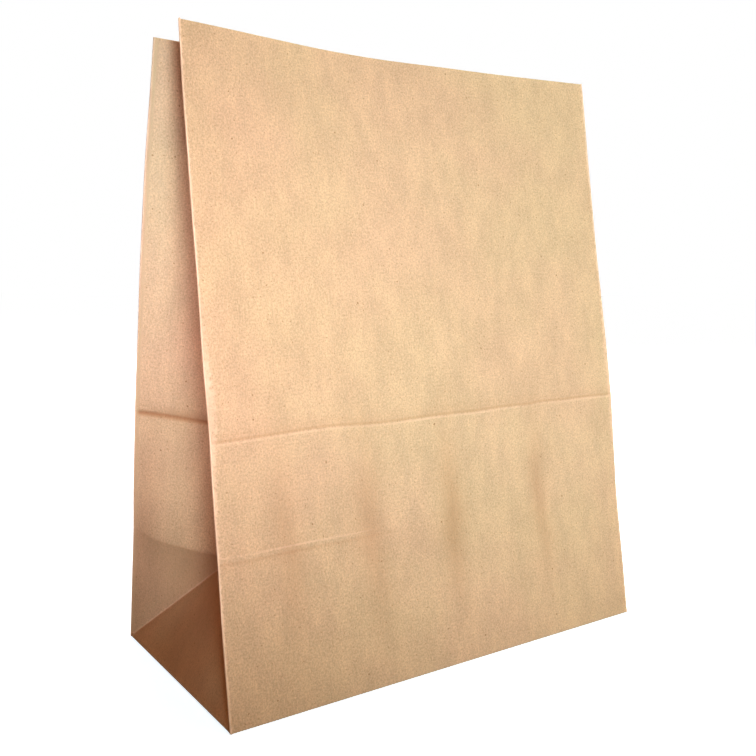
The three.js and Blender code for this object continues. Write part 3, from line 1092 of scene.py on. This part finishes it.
class KraftMaterial:
    """Lays out one kraft paper material from the shared groups."""

    def __init__(self, name, groups):
        self.material = bpy.data.materials.new(name)
        self.material.use_nodes = True
        self.nodes = Nodes(self.material.node_tree)
        self.groups = groups

    def group(self, name, inputs):
        return self.nodes.put("ShaderNodeGroup", inputs, node_tree=self.groups[name]).outputs

    def attribute(self, name, output="Fac"):
        node = self.nodes.put("ShaderNodeAttribute", attribute_name=name)
        return node.outputs[output]

    def wear_and_highlight(self, place, gap, reach):
        inputs = {"Place": place, "Gap": self.attribute(gap), "Reach": reach}
        return self.group("wear_and_highlight", inputs)["Wear"]

    def build(self, kraft, ground, patch, grain, fibres, roughness, relief, worn_and_highlight):
        """ground and patch are the pulp's two colours, and relief is the depth of its bump.
        grain, fibres and worn say how strongly each of them shows."""
        n = self.nodes
        place = self.attribute("sheet_place", "Vector")
        pulp = self.group("clouds", {"Place": place, "Grain Size": GRAIN_SIZE})
        strands = self.group("fibres", {"Place": place, "Amount": fibres})
        fold = self.wear_and_highlight(place, "fold_gap", FOLD_WEAR)
        crease = self.wear_and_highlight(place, "crease_gap", CREASE_WEAR)
        wear_and_highlight = n.maths("MAXIMUM", fold, n.maths("MULTIPLY", crease, 0.5))
        ragged = n.ramp(pulp["Grain"], 0.2, 0.8, 0.6, 1.4)
        crush_and_shade = n.maths("MULTIPLY", self.attribute("crush_and_shade"), ragged, clamp=True)

        tone = n.mix(n.ramp(pulp["Patches"], 0.36, 0.64), rgba(ground), rgba(patch))
        cloud = n.ramp(pulp["Clouds"], 0.25, 0.75, 1 - kraft.clouds, 1 + kraft.clouds)
        fine = n.ramp(pulp["Grain"], 0.25, 0.75, 1 - grain, 1 + grain)
        shade = n.maths("MULTIPLY", cloud, fine)
        grey = n.put("ShaderNodeCombineColor", {0: shade, 1: shade, 2: shade}).outputs[0]
        tone = n.mix(1.0, tone, grey, "MULTIPLY")
        for mask, strength, tint in (
            (strands["Fibres"], 0.30, kraft.fibre_dark),
            (strands["Pale"], 0.40, kraft.fibre_light),
            (strands["Specks"], 0.75, kraft.speck_colour),
            # The worn colour is pale broken fibres, and on the front's folds a painted highlight
            (wear_and_highlight, worn_and_highlight, kraft.worn_and_highlight_colour),
            # The crushed colour is crushed fibres and painted shade: beside creases, in buckle
            # hollows and under the gussets' lower creases
            (crush_and_shade, 1.0, kraft.crush_and_shade_colour),
        ):
            tone = n.mix(n.maths("MULTIPLY", mask, strength), tone, rgba(tint))

        height = n.maths("MULTIPLY", pulp["Grain"], 0.8)
        raised = ((pulp["Clouds"], 1.2), (strands["Pale"], 0.35), (strands["Fibres"], 0.2))
        for mask, strength in raised:
            height = n.maths("ADD", height, n.maths("MULTIPLY", mask, strength))
        normal = n.put(
            "ShaderNodeBump", {"Height": height, "Strength": 1.0, "Distance": relief}
        ).outputs[0]
        gloss = n.ramp(pulp["Clouds"], 0.3, 0.7, roughness - 0.06, roughness + 0.06)
        gloss = n.maths("ADD", gloss, n.maths("MULTIPLY", wear_and_highlight, 0.12), clamp=True)
        shader = n.put(
            "ShaderNodeBsdfPrincipled",
            {
                "Base Color": tone,
                "Roughness": gloss,
                "Normal": normal,
                "Specular IOR Level": 0.28,
                "Sheen Weight": 0.06,
                "Sheen Roughness": 0.6,
            },
        )
        n.put("ShaderNodeOutputMaterial", {"Surface": shader.outputs[0]})
        return self.material


def kraft_materials(kraft):
    """The bag's outside, inside and cut edge, in the order of its material slots."""
    groups = {"clouds": clouds_group(), "fibres": fibres_group(), "wear_and_highlight": wear_and_highlight_group()}
    outside = KraftMaterial("Kraft Outside", groups).build(
        kraft,
        ground=kraft.paper_colour,
        patch=kraft.warm_colour,
        grain=kraft.grain,
        fibres=0.8,
        roughness=kraft.roughness,
        relief=0.05 * MM,
        worn_and_highlight=0.85,
    )
    inside = KraftMaterial("Kraft Inside", groups).build(
        kraft,
        ground=kraft.inner_colour,
        patch=kraft.warm_colour,
        grain=1.2 * kraft.grain,
        fibres=1.0,
        roughness=0.85,
        relief=0.08 * MM,
        worn_and_highlight=0.4,
    )
    cut_edge = KraftMaterial("Kraft Cut Edge", groups).build(
        kraft,
        ground=kraft.edge_colour,
        patch=kraft.edge_colour,
        grain=1.4 * kraft.grain,
        fibres=1.0,
        roughness=0.9,
        relief=0.03 * MM,
        worn_and_highlight=0.0,
    )
    return [outside, inside, cut_edge]


# ---------------------------------------------------------------------------------------
# Operators
# ---------------------------------------------------------------------------------------


def place_in_scene(name, data):
    piece = bpy.data.objects.new(name, data)
    bpy.context.scene.collection.objects.link(piece)
    return piece


class PAPERBAG_OT_fold_bag(bpy.types.Operator):
    """Fold the kraft sheet into a standing bag with gussets, a back lap and a flat base"""

    bl_idname = "paperbag.fold_bag"
    bl_label = "Fold Bag"

    def execute(self, context):
        k = context.scene.paper_bag_shape
        parts = MeshParts()
        build_wall(k, parts)
        build_ply(k, parts, ply_outline(k, "long", -1), 0)
        build_ply(k, parts, ply_outline(k, "long", 1), 1)
        for side in (-1, 1):
            build_ply(k, parts, ply_outline(k, "ear", side), 1)
            build_ply(k, parts, ply_outline(k, "gusset", side), 2)
        bag = place_in_scene("folded_paper_bag", mesh_from(parts, "folded_paper_bag"))
        for material in kraft_materials(context.scene.paper_bag_kraft):
            bag.data.materials.append(material)
        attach(bag, "root")
        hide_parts(NODE)
        return {"FINISHED"}


def aimed(light, place, aim):
    light.location = place
    light.rotation_euler = (Vector(aim) - Vector(place)).to_track_quat("-Z", "Y").to_euler()


def hang_spot(name, aim, turn, rise, distance, beam, radius):
    """A soft-edged spot light at a turn to the left of the front panel and a rise above aim."""
    level = math.cos(rise)
    towards = Vector((-math.sin(turn) * level, -math.cos(turn) * level, math.sin(rise)))
    light = bpy.data.lights.new(name, "SPOT")
    light.spot_blend = 1.0
    light.spot_size = beam
    light.shadow_soft_size = radius
    aimed(place_in_scene(name, light), aim + distance * towards, aim)
    return light


def hang_disk(name, place, aim):
    """A broad soft light."""
    light = bpy.data.lights.new(name, "AREA")
    light.shape = "DISK"
    light.size = DISK_SIZE
    aimed(place_in_scene(name, light), place, aim)
    return light


FLOOR_RADIUS = 6.0
FLOOR_SIDES = 64
FLOOR_BOUNCE = (0.22, 0.20, 0.18)  # what the bag sees of the floor, which keeps its foot dark
KICKER_RADIUS = 0.05
DISK_SIZE = 0.9


class PAPERBAG_OT_set_studio(bpy.types.Operator):
    """Lay a pale floor, hang the lights and stand the camera in front of the bag"""

    bl_idname = "paperbag.set_studio"
    bl_label = "Set Studio"

    def execute(self, context):
        scene = context.scene
        studio = scene.paper_bag_studio
        self.lay_floor(studio)
        self.hang_lights(scene.paper_bag_shape, studio)
        self.light_world(scene, studio)
        self.stand_camera(scene, studio)
        scene.view_settings.view_transform = "Standard"
        scene.view_settings.look = "None"
        scene.view_settings.gamma = studio.contrast
        return {"FINISHED"}

    def lay_floor(self, studio):
        """A wide disk. To the camera its glow makes up what the coloured fill leaves short of
        the backdrop, and to the bag it is a dull floor with no glow."""
        mesh = bpy.data.meshes.new("studio_floor")
        around = [math.tau * i / FLOOR_SIDES for i in range(FLOOR_SIDES)]
        rim = [(FLOOR_RADIUS * math.cos(a), FLOOR_RADIUS * math.sin(a), 0.0) for a in around]
        mesh.from_pydata(rim, [], [list(range(FLOOR_SIDES))])
        floor = place_in_scene("studio_floor", mesh)
        material = bpy.data.materials.new("Pale Floor")
        material.use_nodes = True
        n = Nodes(material.node_tree)
        seen = n.put("ShaderNodeLightPath").outputs["Is Camera Ray"]
        lit = n.put("ShaderNodeBsdfDiffuse", {"Color": rgba(studio.floor_colour)}).outputs[0]
        shine = [
            studio.backdrop - studio.sky * fill * pale
            for fill, pale in zip(studio.fill_colour, studio.floor_colour)
        ]
        glow = n.put("ShaderNodeEmission", {"Color": rgba(shine)}).outputs[0]
        white = n.put("ShaderNodeAddShader", {0: lit, 1: glow}).outputs[0]
        dull = n.put("ShaderNodeBsdfDiffuse", {"Color": rgba(FLOOR_BOUNCE)}).outputs[0]
        surface = n.put("ShaderNodeMixShader", {0: seen, 1: dull, 2: white}).outputs[0]
        n.put("ShaderNodeOutputMaterial", {"Surface": surface})
        mesh.materials.append(material)

    def hang_lights(self, bag, studio):
        """A key on the front, a kicker on the left gusset, and soft lights on the rest."""
        key = hang_spot(
            "Key",
            aim=Vector((0.57 * bag.width, -0.3 * bag.depth, 0.68 * bag.height)),
            turn=studio.key_turn,
            rise=studio.key_rise,
            distance=studio.key_distance,
            beam=studio.key_beam,
            radius=studio.key_size,
        )
        kicker = hang_spot(
            "Kicker",
            aim=Vector((-0.60 * bag.width, 0.2 * bag.depth, 0.56 * bag.height)),
            turn=studio.kicker_turn,
            rise=0.0,
            distance=studio.key_distance,
            beam=studio.kicker_beam,
            radius=KICKER_RADIUS,
        )
        middle = (0, 0, 0.5 * bag.height)
        warm = hang_disk("Warm", (0.4, -1.0, 0.2), middle)
        rear = hang_disk("Rear", (0.5, 1.1, 0.6), middle)
        side = hang_disk("Side", (1.2, 0.1, 0.5), middle)
        for light, energy, tint in (
            (key, studio.key_power, studio.key_colour),
            (kicker, studio.kicker_power, studio.kicker_colour),
            (warm, studio.warm_power, studio.fill_colour),
            (rear, studio.rear_power, (1, 1, 1)),
            (side, studio.rear_power, (1, 1, 1)),
        ):
            light.energy = energy
            light.color = tint

    def light_world(self, scene, studio):
        """A dim warm fill for the bag, and a white backdrop for the camera."""
        world = bpy.data.worlds.new("Studio White")
        world.use_nodes = True
        n = Nodes(world.node_tree)
        seen = n.put("ShaderNodeLightPath").outputs["Is Camera Ray"]
        fill = n.put(
            "ShaderNodeBackground", {"Color": rgba(studio.fill_colour), "Strength": studio.sky}
        )
        back = n.put("ShaderNodeBackground", {"Color": (1, 1, 1, 1), "Strength": studio.backdrop})
        light = n.put("ShaderNodeMixShader", {0: seen, 1: fill.outputs[0], 2: back.outputs[0]})
        n.put("ShaderNodeOutputWorld", {"Surface": light.outputs[0]})
        scene.world = world

    def stand_camera(self, scene, studio):
        data = bpy.data.cameras.new("Camera")
        data.sensor_width = 36
        data.lens = studio.lens
        data.shift_x = studio.shift_x
        data.shift_y = studio.shift_y
        data.clip_start = 0.01
        camera = place_in_scene("Camera", data)
        level = math.cos(studio.pitch)
        ahead = Vector(
            (math.sin(studio.yaw) * level, math.cos(studio.yaw) * level, -math.sin(studio.pitch))
        )
        turn = ahead.to_track_quat("-Z", "Y").to_matrix().to_4x4()
        camera.matrix_world = Matrix.Translation(studio.eye) @ turn
        scene.camera = camera


class PAPERBAG_PT_sidebar(bpy.types.Panel):
    """Sizes, colours and steps of the paper bag"""

    bl_idname = "PAPERBAG_PT_sidebar"
    bl_label = "Paper Bag"
    bl_space_type = "VIEW_3D"
    bl_region_type = "UI"
    bl_category = "Paper Bag"

    def draw(self, context):
        layout = self.layout
        for settings, title, operator in (
            (context.scene.paper_bag_shape, "Bag", PAPERBAG_OT_fold_bag),
            (context.scene.paper_bag_kraft, "Kraft Paper", None),
            (context.scene.paper_bag_studio, "Studio", PAPERBAG_OT_set_studio),
        ):
            box = layout.box()
            box.label(text=title)
            for name in settings.__annotations__:
                box.prop(settings, name)
            if operator:
                box.operator(operator.bl_idname)


CLASSES = (
    PaperBagShape,
    PaperBagKraft,
    PaperBagStudio,
    PAPERBAG_OT_fold_bag,
    PAPERBAG_OT_set_studio,
    PAPERBAG_PT_sidebar,
)


def register():
    for cls in CLASSES:
        bpy.utils.register_class(cls)
    bpy.types.Scene.paper_bag_shape = PointerProperty(type=PaperBagShape)
    bpy.types.Scene.paper_bag_kraft = PointerProperty(type=PaperBagKraft)
    bpy.types.Scene.paper_bag_studio = PointerProperty(type=PaperBagStudio)


def unregister():
    del bpy.types.Scene.paper_bag_studio
    del bpy.types.Scene.paper_bag_kraft
    del bpy.types.Scene.paper_bag_shape
    for cls in reversed(CLASSES):
        bpy.utils.unregister_class(cls)


def main():
    register()
    bpy.ops.paperbag.fold_bag()
    bpy.ops.paperbag.set_studio()


if __name__ == "__main__":
    main()
